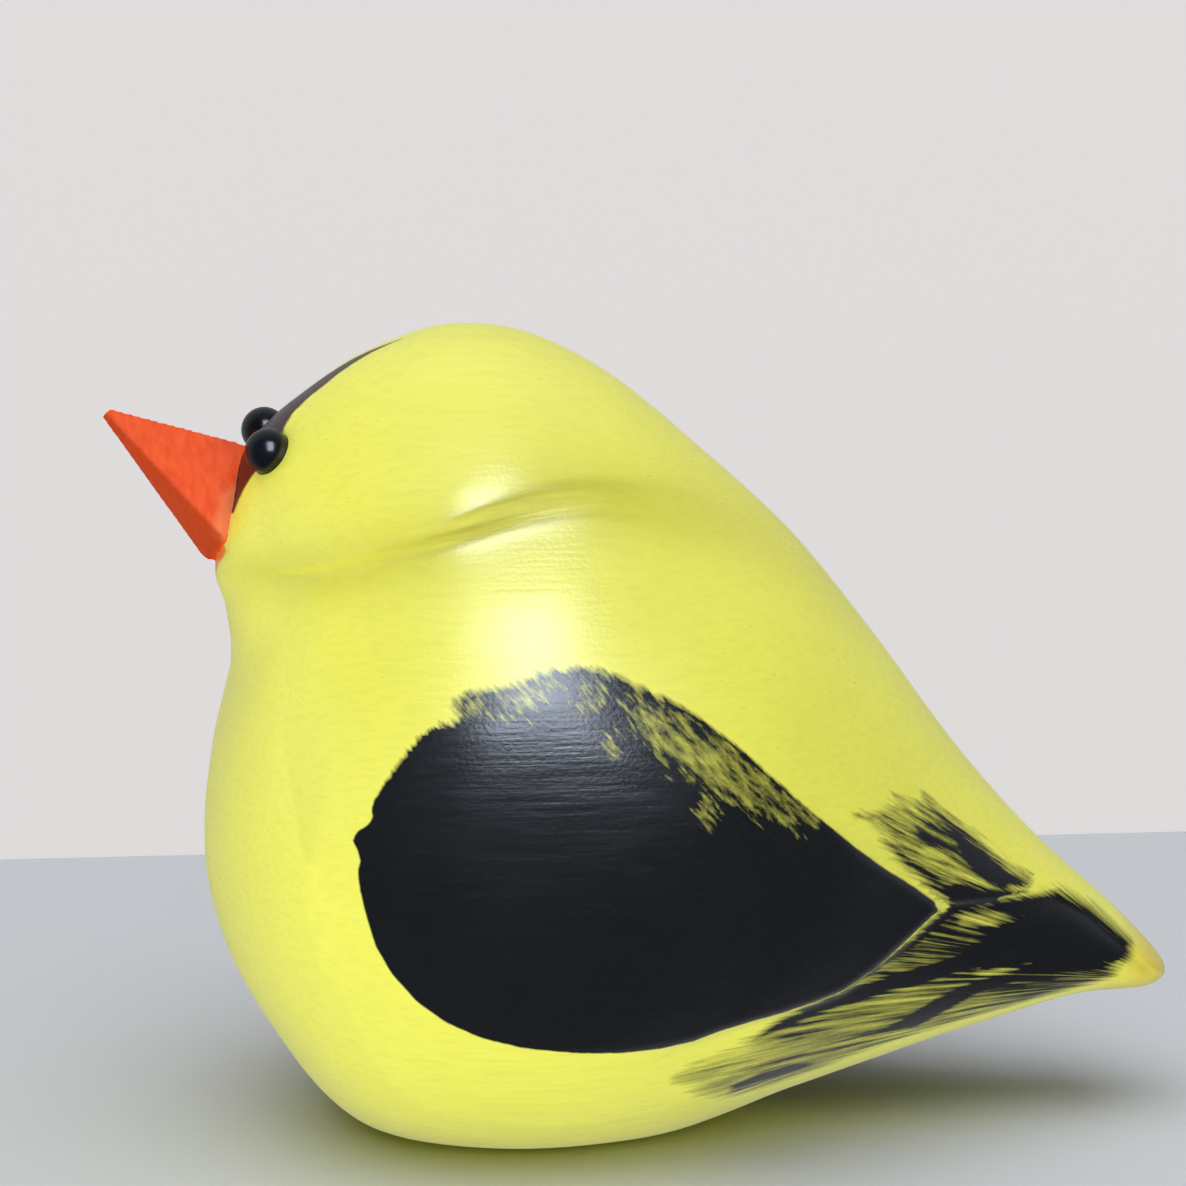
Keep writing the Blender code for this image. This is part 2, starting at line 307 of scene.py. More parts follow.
# The strokes on rump and tail run towards this place at the tail tip: along, up
STROKE_END = (98.0, -1.0)
STROKE_END_GAP = 1.0
STROKE_RADIUS = 30.0

# Length and width of a brush mark, and what keeps the marks of two patches or sides apart
TAIL_MARK = (11.0, 0.5)
RUMP_MARK = (5.0, 0.36)
WING_MARK = (2.2, 0.55)
WING_MARK_SLOPE = math.radians(-20.0)
WING_APART = 40.0
SIDES_APART = 20.0

# Painted shade in the gouge's cut under the cheek, olive and streaked along the gouge's marks:
# across it in mm, and along it in shares of the crease. A mark's size is given along, across,
# and through the bird from side to side.
GOUGED_BELOW = (-0.3, 0.4)
GOUGED_ABOVE = (0.9, -0.5)
GOUGED_STARTS = (0.3, 0.85)
GOUGED_ENDS = (1.5, 1.0)
GOUGE_MARK = (1.0 / 2.6, 0.9, 9.0)

# Painted shade on the cut's two edges: amount, middle and width in mm. A broad painted shade,
# the dusk round the cut, has its middle at a share of the cut's height, and grows wider by a
# share of it.
UPPER_LINE = (0.75, 0.1, 0.5)
UPPER_STARTS = (0.6, 1.0)
UPPER_ENDS = (1.7, 1.1)
LOWER_LINE = (1.3, 0.1, 0.35)
LOWER_STARTS = (0.5, 0.85)
LOWER_ENDS = (1.25, 1.0)
DUSK = 0.85
DUSK_MIDDLE = 0.5
DUSK_WIDTH = (2.2, 0.4)
DUSK_STARTS = (-0.15, 0.2)
DUSK_ENDS = (2.3, 1.5)
DUSK_IN_GOUGE = 0.8

# Table and wall, with the table's far edge as far behind the bird as in the photograph
TABLE_SIZE = (3.0, 1.0)
TABLE_FAR_EDGE = 95.0 * MM
TABLE_BELOW = 0.2 * MM
WALL_RADIUS = 1.2
WALL_HEIGHT = 3.0
WALL_MIDDLE = 0.5

# Faces of the fine meshes, and the sharpest angle between them that still looks smooth
AROUND = 352
ALONG = 244
BEAD_AROUND = 48
BEAD_ALONG = 32
SMOOTH_ANGLE = math.radians(40.0)


def ramp(value, ends):
    """0 at the first end and 1 at the second, with a soft start and stop."""
    part = np.clip((value - ends[0]) / (ends[1] - ends[0]), 0.0, 1.0)
    return part * part * (3.0 - 2.0 * part)


def change(amount_and_ends, value):
    """How much of a change has come in, by where the value lies in its range."""
    amount, ends = amount_and_ends
    return amount * ramp(value, ends)


def band(value, middle, width):
    """1 at the middle, and falling softly to 0 on both sides."""
    return np.exp(-(((value - middle) / width) ** 2))


def smooth_through(knots, values, where):
    """A smooth curve through the values, round at both ends, read at the given places."""
    before_first = 2 * values[0] - values[1]
    after_last = 2 * values[-1] - values[-2]
    before_first[0] = values[1][0]
    after_last[0] = values[-2][0]
    points = np.vstack([before_first, values, after_last])
    spans = np.diff(np.concatenate([[-knots[1]], knots, [2 - knots[-2]]]))[:, None]
    rates = np.diff(points, axis=0) / spans
    slopes = (rates[:-1] * spans[1:] + rates[1:] * spans[:-1]) / (spans[:-1] + spans[1:])
    index = np.clip(np.searchsorted(knots, where, side="right") - 1, 0, len(knots) - 2)
    span = spans[index + 1]
    part = (where[:, None] - knots[index][:, None]) / span
    return (
        (2 * part**3 - 3 * part**2 + 1) * values[index]
        + (part**3 - 2 * part**2 + part) * slopes[index] * span
        + (3 * part**2 - 2 * part**3) * values[index + 1]
        + (part**3 - part**2) * slopes[index + 1] * span
    )


def line_sides(line, along, up):
    """How far places lie to the left of a line, and their share of its run."""
    (start_along, start_up), (end_along, end_up) = line
    run = math.hypot(end_along - start_along, end_up - start_up)
    step_along = (end_along - start_along) / run
    step_up = (end_up - start_up) / run
    from_along = along - start_along
    from_up = up - start_up
    left = step_along * from_up - step_up * from_along
    share = (from_along * step_along + from_up * step_up) / run
    return left * BODY_LENGTH, share


def patch_distance(outline, along, up):
    """Distance in mm from places in the side view to a closed outline, positive inside."""
    corners = np.array(outline)
    nearest = np.full(along.shape, np.inf)
    inside = np.zeros(along.shape, dtype=bool)
    for (a0, u0), (a1, u1) in zip(corners, np.roll(corners, -1, axis=0)):
        run = (a1 - a0) ** 2 + (u1 - u0) ** 2
        share = np.clip(((along - a0) * (a1 - a0) + (up - u0) * (u1 - u0)) / run, 0.0, 1.0)
        gap = np.hypot(along - a0 - share * (a1 - a0), up - u0 - share * (u1 - u0))
        nearest = np.minimum(nearest, gap)
        crosses = (u0 > up) != (u1 > up)
        with np.errstate(divide="ignore", invalid="ignore"):
            left = along < a0 + (up - u0) * (a1 - a0) / (u1 - u0)
        inside ^= crosses & left
    return np.where(inside, nearest, -nearest)


def rounded(outline, times=2):
    """A closed outline with its corners cut, once or twice over, so that it runs smoothly."""
    corners = np.array(outline)
    for _ in range(times):
        following = np.roll(corners, -1, axis=0)
        cut = np.stack([0.75 * corners + 0.25 * following, 0.25 * corners + 0.75 * following])
        corners = cut.transpose(1, 0, 2).reshape(-1, 2)
    return corners


def neck_sides(along, up):
    """How far places lie above the neck's crease, and their share of its run."""
    above, share = line_sides(NECK_LINE, along, up)
    return above + NECK_BEND * np.maximum(share - NECK_BEND_FROM, 0.0) ** 2, share


def undercut_height(share):
    """How far the cut under the cheek reaches above the crease, wider towards the back."""
    least, most = NECK_UNDERCUT
    return least + (most - least) * ramp(share, NECK_UNDERCUT_OPENS)


def side_cut(along, up):
    """Depth that the knife takes off the sides, at places given as shares of the length."""
    # Crease between cheek and shoulder: a flat cut under the cheek, easy down the shoulder
    above, share = neck_sides(along, up)
    from_line = np.hypot(above, NECK_SHARPNESS) - NECK_SHARPNESS
    undercut = np.clip(1.0 - from_line / undercut_height(share), 0.0, 1.0)
    shoulder = np.exp(-((from_line / NECK_SHOULDER) ** NECK_SHOULDER_EASE))
    crease = NECK_DEPTH * np.where(above > 0, undercut, shoulder)
    waist = NECK_WAIST * band(above, 0.0, NECK_WAIST_WIDTH)
    cut = crease * ramp(share, NECK_ENDS) + waist * ramp(share, WAIST_ENDS)
    cut = cut * ramp(share, NECK_STARTS)
    # Cheek, a low swell above the crease
    swell = band(above, CHEEK_RISE, CHEEK_WIDTH)
    cut = cut - CHEEK_SWELL * swell * ramp(share, CHEEK_STARTS) * ramp(share, CHEEK_ENDS)
    # Tail sides, hollowed behind the wings and under the rump
    below_ridge = np.full_like(along, -np.inf)
    for start, end in zip(TAIL_RIDGE, TAIL_RIDGE[1:]):
        left, _ = line_sides((start, end), along, up)
        below_ridge = np.where(along >= start[0], -left, below_ridge)
    to_mm = BODY_LENGTH / MM
    in_wing = patch_distance(rounded(WING_PATCH, 1), along * to_mm, up * to_mm) * MM
    behind_wing, share = line_sides(WING_REAR, along, up)
    hollow = np.minimum(np.where(along >= WING_REAR[0][0], below_ridge, np.inf), -in_wing)
    hollow = np.minimum(hollow, behind_wing)
    cut = cut + TAIL_HOLLOW * ramp(hollow, (0.0, KNIFE_SOFTNESS)) * ramp(share, TAIL_ENDS)
    # Wing ends, left standing by the cuts above and behind them
    _, share = line_sides(WING_UPPER, along, up)
    standing = ramp(in_wing, WING_EDGE)
    return cut - WING_STEP * standing * ramp(share, WING_STARTS)


def to_world(along, up):
    """X and Z of a place in the body's sloping side view, with the face at X = 0."""
    cos, sin = math.cos(BODY_SLOPE), math.sin(BODY_SLOPE)
    return along * cos + up * sin, FACE_HEIGHT - along * sin + up * cos


def to_side_view(points, face_x):
    """Along and up of points, in metres, in the body's sloping side view."""
    cos, sin = math.cos(BODY_SLOPE), math.sin(BODY_SLOPE)
    back = points[:, 0] - face_x
    rise = points[:, 2] - FACE_HEIGHT
    return back * cos - rise * sin, back * sin + rise * cos


def body_form(ball):
    """Each point of a unit ball becomes a point of the carved body."""
    table = np.array(STATIONS)
    girth = (table[:, 1] - table[:, 2]) / 2
    half_width = table[:, 4] * BODY_WIDTH / 2 / BODY_LENGTH
    profile = np.stack([table[:, 0], girth, half_width], axis=1)
    run = np.cumsum(np.linalg.norm(np.diff(profile, axis=0, prepend=profile[:1]), axis=1))
    polar = np.arccos(np.clip(ball[:, 2], -1.0, 1.0)) / math.pi
    along, back, belly, widest, half = smooth_through(run / run[-1], table, polar).T
    turn = np.arctan2(ball[:, 0], ball[:, 1])
    rise = np.sin(turn)
    up = widest + rise * np.where(rise > 0, back - widest, widest - belly)
    side = half * np.cos(turn) * BODY_WIDTH / 2
    cut = side_cut(along, up) * np.clip(side / KEEP_CENTRE, -1.0, 1.0)
    x, z = to_world(along * BODY_LENGTH, up * BODY_LENGTH)
    return np.stack([x, side - cut, z], axis=1)


def rest_on_floor(height):
    """Heights with all below the floor laid flat on it, and a worn rim where they meet."""
    near = np.maximum(FOOT_ROUNDING - np.abs(height), 0.0) / FOOT_ROUNDING
    return np.maximum(height, 0.0) + near**2 * FOOT_ROUNDING / 4


def points_of(obj):
    """The vertices of a mesh as an array."""
    flat = np.empty(len(obj.data.vertices) * 3)
    obj.data.vertices.foreach_get("co", flat)
    return flat.reshape(-1, 3)


def set_points(obj, points):
    """Puts the vertices of a mesh at the given places."""
    obj.data.vertices.foreach_set("co", np.ascontiguousarray(points).ravel())
    obj.data.update()


def blade_marks(obj, depth, size):
    """Pushes the skin in by up to the depth, in marks of the given size."""
    flat = np.empty(len(obj.data.vertices) * 3)
    obj.data.vertices.foreach_get("normal", flat)
    points = points_of(obj)
    marks = [noise.noise(Vector(place)) for place in points / np.array(size)]
    inward = depth * (0.5 + 0.5 * np.clip(marks, -1.0, 1.0))
    set_points(obj, points - flat.reshape(-1, 3) * inward[:, None])


def only(obj):
    """Makes an object the one selected and active."""
    bpy.ops.object.select_all(action="DESELECT")
    obj.select_set(True)
    bpy.context.view_layer.objects.active = obj


def finish_with(obj, kind, **settings):
    """Adds a modifier with its settings and applies it."""
    only(obj)
    modifier = obj.modifiers.new(kind, kind)
    for name, value in settings.items():
        setattr(modifier, name, value)
    bpy.ops.object.modifier_apply(modifier=modifier.name)


def combine(body, tool, operation):
    """Joins a tool to the body or cuts it out, and removes the tool."""
    finish_with(body, "BOOLEAN", object=tool, operation=operation, solver="EXACT",
                material_mode="TRANSFER")
    bpy.data.objects.remove(tool, do_unlink=True)


def carve_body():
    """The body before beak and eyes, with its face at X = 0."""
    bpy.ops.object.select_all(action="DESELECT")
    bpy.ops.mesh.primitive_uv_sphere_add(segments=AROUND, ring_count=ALONG, radius=1.0)
    body = bpy.context.object
    body.name = "painted_body"
    set_points(body, body_form(points_of(body)))
    blade_marks(body, FLATS_DEPTH, FLATS_SIZE)
    blade_marks(body, SHAVINGS_DEPTH, SHAVINGS_SIZE)
    points = points_of(body)
    points[:, 2] = rest_on_floor(points[:, 2])
    set_points(body, points)
    return body


def beak_corners():
    """Tip, ridge, keel and near side corner of the beak, with the face at X = 0."""
    return (
        Vector((-BEAK_REACH, 0, FACE_HEIGHT + BEAK_RISE)),
        Vector((BEAK_RIDGE_BACK, 0, FACE_HEIGHT + BEAK_RIDGE)),
        Vector((-BEAK_KEEL_FRONT, 0, FACE_HEIGHT - BEAK_KEEL)),
        Vector((0, -BEAK_WIDTH / 2, FACE_HEIGHT - BEAK_SIDE)),
    )


def carve_beak():
    """Four sided spike, remeshed and softened so that its edges look cut and painted."""
    tip, ridge, keel, side = beak_corners()
    mirror = Vector((1, -1, 1))
    bpy.ops.object.select_all(action="DESELECT")
    bpy.ops.mesh.primitive_cone_add(vertices=4, radius1=1, radius2=1, depth=2)
    beak = bpy.context.object
    for vert in beak.data.vertices:
        if abs(vert.co.x) > abs(vert.co.y):
            corner = side if vert.co.x > 0 else side * mirror
        else:
            corner = ridge if vert.co.y > 0 else keel
        at_base = vert.co.z < 0
        vert.co = corner if at_base else tip + (corner - tip).normalized() * BEAK_BLUNT
    bpy.ops.object.mode_set(mode="EDIT")
    bpy.ops.mesh.select_all(action="DESELECT")
    bpy.ops.object.mode_set(mode="OBJECT")
    base = max(beak.data.polygons, key=lambda face: face.center.x)
    base.select = True
    bpy.ops.object.mode_set(mode="EDIT")
    bpy.ops.mesh.extrude_region_move(TRANSFORM_OT_translate={"value": (BEAK_ROOT, 0, 0)})
    bpy.ops.transform.resize(value=(BEAK_ROOT_SHARE,) * 3)
    bpy.ops.mesh.select_mode(type="EDGE")
    bpy.ops.mesh.select_all(action="DESELECT")
    bpy.ops.object.mode_set(mode="OBJECT")
    rim = (ridge, keel, side, side * mirror)
    for edge in beak.data.edges:
        ends = [beak.data.vertices[index].co for index in edge.vertices]
        edge.select = all(min((end - corner).length for corner in rim) < SAME_PLACE for end in ends)
    bpy.ops.object.mode_set(mode="EDIT")
    bpy.ops.mesh.bevel(offset=BEAK_RIM, segments=BEAK_RIM_STEPS, affect="EDGES")
    bpy.ops.mesh.select_all(action="SELECT")
    bpy.ops.mesh.normals_make_consistent(inside=False)
    bpy.ops.object.mode_set(mode="OBJECT")
    finish_with(beak, "REMESH", mode="VOXEL", voxel_size=BEAK_VOXEL)
    finish_with(beak, "SMOOTH", factor=0.5, iterations=BEAK_SOFTENING)
    return beak


def ball_at(centre, radius):
    """A ball whose poles lie to the left and right."""
    bpy.ops.object.select_all(action="DESELECT")
    bpy.ops.mesh.primitive_uv_sphere_add(
        segments=BEAD_AROUND, ring_count=BEAD_ALONG, radius=radius, location=centre,
        rotation=(math.pi / 2, 0, 0),
    )
    bpy.ops.object.transform_apply(location=True, rotation=True, scale=True)
    return bpy.context.object


def bead_at(centre, radius):
    """A bead of glass, with the mouth of its bore on the side that is glued to the head."""
    bead = ball_at(centre, radius)
    inwards = -math.copysign(1.0, centre.y)
    bpy.ops.object.mode_set(mode="EDIT")
    bpy.ops.mesh.select_mode(type="FACE")
    bpy.ops.mesh.select_all(action="DESELECT")
    bpy.ops.object.mode_set(mode="OBJECT")
    for face in bead.data.polygons:
        off_axis = math.hypot(face.center.x - centre.x, face.center.z - centre.z)
        face.select = face.normal.y * inwards > 0 and off_axis < BORE_SHARE * radius
    bpy.ops.object.mode_set(mode="EDIT")
    bpy.ops.mesh.extrude_region_move(
        TRANSFORM_OT_translate={"value": (0, -inwards * BORE_DEPTH, 0)}
    )
    bpy.ops.object.mode_set(mode="OBJECT")
    return bead


def soften_seam(body):
    """Rounds the line where beak and head meet, as paint and sanding do."""
    only(body)
    faces_of = {}
    for face in body.data.polygons:
        for index in face.vertices:
            faces_of.setdefault(index, set()).add(face.material_index)
    bpy.ops.object.mode_set(mode="EDIT")
    bpy.ops.mesh.select_mode(type="VERT")
    bpy.ops.mesh.select_all(action="DESELECT")
    bpy.ops.object.mode_set(mode="OBJECT")
    for index, kinds in faces_of.items():
        body.data.vertices[index].select = len(kinds) > 1
    bpy.ops.object.mode_set(mode="EDIT")
    for _ in range(SEAM_STEPS):
        bpy.ops.mesh.select_more()
    bpy.ops.mesh.vertices_smooth(factor=0.5, repeat=SEAM_SOFTENING)
    bpy.ops.object.mode_set(mode="OBJECT")


def add_attribute(mesh, name, values):
    """Keeps a number, or three, for each vertex."""
    kind = "FLOAT" if values.ndim == 1 else "FLOAT_VECTOR"
    attribute = mesh.attributes.new(name, kind, "POINT")
    field = "value" if values.ndim == 1 else "vector"
    attribute.data.foreach_set(field, np.ascontiguousarray(values, dtype=np.float32).ravel())


def strokes_distance(strokes, along, up):
    """Distance in mm from places in the side view to the nearest stroke, positive inside."""
    best = np.full(along.shape, -np.inf)
    for stroke in strokes:
        for (a0, u0, w0), (a1, u1, w1) in zip(stroke, stroke[1:]):
            run = (a1 - a0) ** 2 + (u1 - u0) ** 2
            share = np.clip(((along - a0) * (a1 - a0) + (up - u0) * (u1 - u0)) / run, 0.0, 1.0)
            gap = np.hypot(along - a0 - share * (a1 - a0), up - u0 - share * (u1 - u0))
            best = np.maximum(best, w0 + share * (w1 - w0) - gap)
    return best


def black_layout(along, up):
    """What the shader needs for black: its edge, its cover and its place in the brush marks."""
    wing = patch_distance(rounded(WING_PATCH, 1), along, up)
    rump = patch_distance(rounded(RUMP_WASH), along, up)
    tail = patch_distance(rounded(TAIL_WASH), along, up)
    strokes = strokes_distance(FULL_STROKES, along, up)
    tail_end = patch_distance(TAIL_END, along, up)
    dry = strokes_distance(DRY_PLACES, along, up)
    bare = strokes_distance(BARE_PLACES, along, up)
    thin = strokes_distance(THIN_PLACES, along, up)

    # Wing: lower edge crisp, upper front edge torn, and lumps of bare yellow along the top
    on_wing = wing > np.maximum(np.maximum(rump, tail), strokes)
    top = ramp(up, WING_TOP)
    torn = top * ramp(along, TORN_FRONT)
    softness = WING_SOFTNESS + top * change(TOP_SOFTNESS, along) + TORN_SOFTNESS * torn
    dryness = change(WING_DRYNESS, dry) * (1.0 - change(WETTER_FRONT, along))
    dryness = dryness * (1.0 - change(WETTER_REAR, along))
    see_through = WING_SEE_THROUGH + change(DRY_SEE_THROUGH, dry) - TORN_SEE_THROUGH * torn
    most, reach = DRY_CONTRAST
    contrast = WING_CONTRAST + most * np.maximum(ramp(dry, reach), TORN_CONTRAST * torn)

    # Rump and tail: a wash that half hides the yellow
    on_rump = rump > tail
    inside = np.maximum(rump, tail)
    width = np.where(on_rump, RUMP_TORN, TAIL_TORN + change(TAIL_TORN_FRONT, along))
    wash = np.minimum(inside * WASH_STEEPNESS / width, 1.0) * WASH_COVER
    wash = wash + change(WASH_OUTSIDE, inside)
    wash = wash + change(WASH_FRONT, along) + change(WASH_STREAKS, thin)
    darker = TAIL_WASH_LOW + change(TAIL_WASH_HIGH, up)
    darker = darker * ramp(along, TAIL_WASH_REAR) * ramp(thin, CLEAR_OF_STREAKS)
    wash = wash + np.where(on_rump, change(RUMP_WASH_FRONT, along), darker)

    # Full strokes over the wash, and the end of the tail
    (rump_past, rump_width), (tail_past, tail_width) = RUMP_STROKE_EDGE, TAIL_STROKE_EDGE
    full = np.where(
        on_rump, (strokes + rump_past) / rump_width, (strokes + tail_past) / tail_width
    )
    faint = np.where(
        on_rump, change(RUMP_STROKE_FRONT, along), change(TAIL_STROKE_FRONT, along)
    )
    full = np.minimum(full, STROKE_COVER) - faint
    past, width = TAIL_END_EDGE
    end = np.minimum((tail_end + past) / width, change(TAIL_END_COVER, along))
    end = end + change(TAIL_END_STREAKS, thin)
    solid = np.maximum(full, end)
    cover = np.minimum(np.maximum(wash, solid), -bare / BARE_EDGE)
    wash_contrast = np.where(on_rump, RUMP_CONTRAST, WASH_CONTRAST)
    wash_contrast = wash_contrast * (1.0 + change(SOLID_CONTRAST, solid))

    # Brush marks: a fan towards the tail tip, and short dabs on the wing
    back, over = STROKE_END[0] - along, up - STROKE_END[1]
    across = np.arctan2(over, np.abs(back) + STROKE_END_GAP) * STROKE_RADIUS
    mark = np.where(on_rump, np.array(RUMP_MARK)[:, None], np.array(TAIL_MARK)[:, None])
    fan = np.stack([np.hypot(back, over), across]) / mark
    cos, sin = math.cos(WING_MARK_SLOPE), math.sin(WING_MARK_SLOPE)
    dab = np.stack([along * cos + up * sin, up * cos - along * sin])
    dab = dab / np.array(WING_MARK)[:, None] + WING_APART

    return {
        "black_edge": np.where(on_wing, np.minimum(wing, -bare), cover),
        "black_softness": np.where(on_wing, softness, 1.0),
        "black_dryness": np.where(on_wing, dryness, 0.0),
        "black_contrast": np.where(on_wing, contrast, wash_contrast),
        "black_see_through": np.where(on_wing, see_through, WASH_SEE_THROUGH),
        "brush_marks": np.where(on_wing, dab, fan),
    }


def crease_layout(along, up):
    """The gouge's cut, the shade painted in and round the neck's crease, and place in its marks."""
    neck, share = neck_sides(along * MM / BODY_LENGTH, up * MM / BODY_LENGTH)
    neck, top = neck / MM, undercut_height(share) / MM
    gouged = ramp(neck, GOUGED_BELOW) * ramp(neck - top, GOUGED_ABOVE)
    gouged = gouged * ramp(share, GOUGED_STARTS) * ramp(share, GOUGED_ENDS)
    amount, middle, width = UPPER_LINE
    upper = amount * band(neck - top, middle, width)
    upper = upper * ramp(share, UPPER_STARTS) * ramp(share, UPPER_ENDS)
    amount, middle, width = LOWER_LINE
    lower = amount * band(neck, middle, width)
    lower = lower * ramp(share, LOWER_STARTS) * ramp(share, LOWER_ENDS)
    least, wider = DUSK_WIDTH
    dusk = DUSK * band(neck, DUSK_MIDDLE * top, least + wider * top)
    dusk = dusk * ramp(share, DUSK_STARTS) * ramp(share, DUSK_ENDS)
    dusk = dusk * (1.0 - DUSK_IN_GOUGE * gouged)
    return gouged, upper + lower + dusk, np.stack([share, neck])


def lay_out_paint(body, face_x):
    """Keeps on the mesh where each paint goes and how wet the brush was."""
    points = points_of(body)
    along, up = to_side_view(points, face_x)
    along, up = along / MM, up / MM
    kept = black_layout(along, up)
    side = np.sign(points[:, 1]) * SIDES_APART
    kept["brush_marks"] = np.stack([*kept["brush_marks"], side], axis=1)

    heights, widths = np.array(CAP_EDGE).T
    rise = (points[:, 2] - FACE_HEIGHT) / MM
    cap = np.interp(rise, heights, widths, left=NO_CAP, right=NO_CAP)
    kept["cap_edge"] = np.minimum(cap - np.abs(points[:, 1]) / MM, CAP_BACK - along)

    # Orange stays under the planes of the beak's two near faces, and below the smudge's top
    tip, ridge, keel, corner = (place + Vector((face_x, 0, 0)) for place in beak_corners())
    near_side = points * np.where(points[:, 1:2] < 0, 1.0, (1.0, -1.0, 1.0))
    beak = np.minimum(BEAK_BACK - along, SMUDGE_TOP - rise)
    for one, two in ((ridge, corner), (corner, keel)):
        inward = np.array((one - tip).cross(two - tip).normalized())
        under = (near_side - np.array(tip)) @ inward / MM
        beak = np.minimum(beak, under)
    # Distance from the beak's rear rim, for a painted highlight along it
    rim = np.cross(near_side - np.array(ridge), np.array((corner - ridge).normalized()))
    rim = np.linalg.norm(rim, axis=1) / MM + np.maximum(rise - RIM_TOP, 0.0)
    # The last plane is the beak's lower face, where shade is painted darker red along with redder
    # paint
    kept.update(beak_edge=beak, beak_rim=rim, beak_under=under, along=along)

    # The gouge's cut, the shade painted in and round the crease, and place in the gouge's marks
    kept["gouged"], kept["painted_crease_shade"], marks = crease_layout(along, up)
    kept["gouge_marks"] = np.stack([*marks, side], axis=1) / GOUGE_MARK
    for name, values in kept.items():
        add_attribute(body.data, name, values)


def linear(hex_colour):
    """An sRGB hex colour as linear red, green, blue and alpha."""
    channels = [int(hex_colour[i:i + 2], 16) / 255 for i in (0, 2, 4)]
    return (*(c / 12.92 if c <= 0.04045 else ((c + 0.055) / 1.055) ** 2.4 for c in channels), 1.0)


def new_material(name):
    """A material with its node tree and its Principled shader."""
    material = bpy.data.materials.new(name)
    material.use_nodes = True
    return material, material.node_tree, material.node_tree.nodes["Principled BSDF"]


def add_node(tree, kind, inputs, **settings):
    """Adds a node. An input, by name or number, is a value or the node that it comes from."""
    node = tree.nodes.new("ShaderNode" + kind)
    for name, value in settings.items():
        setattr(node, name, value)
    for name, value in inputs.items():
        named = [socket for socket in node.inputs if socket.name == name and socket.enabled]
        socket = named[0] if named else node.inputs[name]
        if isinstance(value, bpy.types.Node):
            tree.links.new(next(out for out in value.outputs if out.enabled), socket)
        elif isinstance(value, bpy.types.NodeSocket):
            tree.links.new(value, socket)
        else:
            socket.default_value = value
    return node


